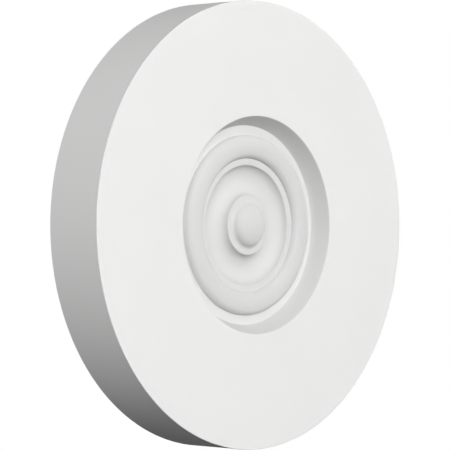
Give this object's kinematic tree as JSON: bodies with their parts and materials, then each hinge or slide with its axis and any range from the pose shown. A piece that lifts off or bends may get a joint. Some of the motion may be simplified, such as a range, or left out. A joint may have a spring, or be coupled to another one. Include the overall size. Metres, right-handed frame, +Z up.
{
  "type": "round corner rosette block",
  "caption": "Round white trim rosette, a thick disc with a turned bullseye sunk in a flared recess in its face, fixed flat over the corner of a door or window casing.",
  "frame": {"origin": "centre of the flat back, where the block lies against the wall", "axes": "upright as fixed to a wall: +Z up, +X to the right of someone facing it, +Y along the disc's axis into the wall, so that the bullseye faces -Y"},
  "size_m": [0.1778, 0.0254, 0.1778],
  "materials": {
    "trim": "smooth matte white, as moulded, ready for paint"
  },
  "bodies": {
    "root": {"rosette_block": "trim"}
  },
  "joints": []
}
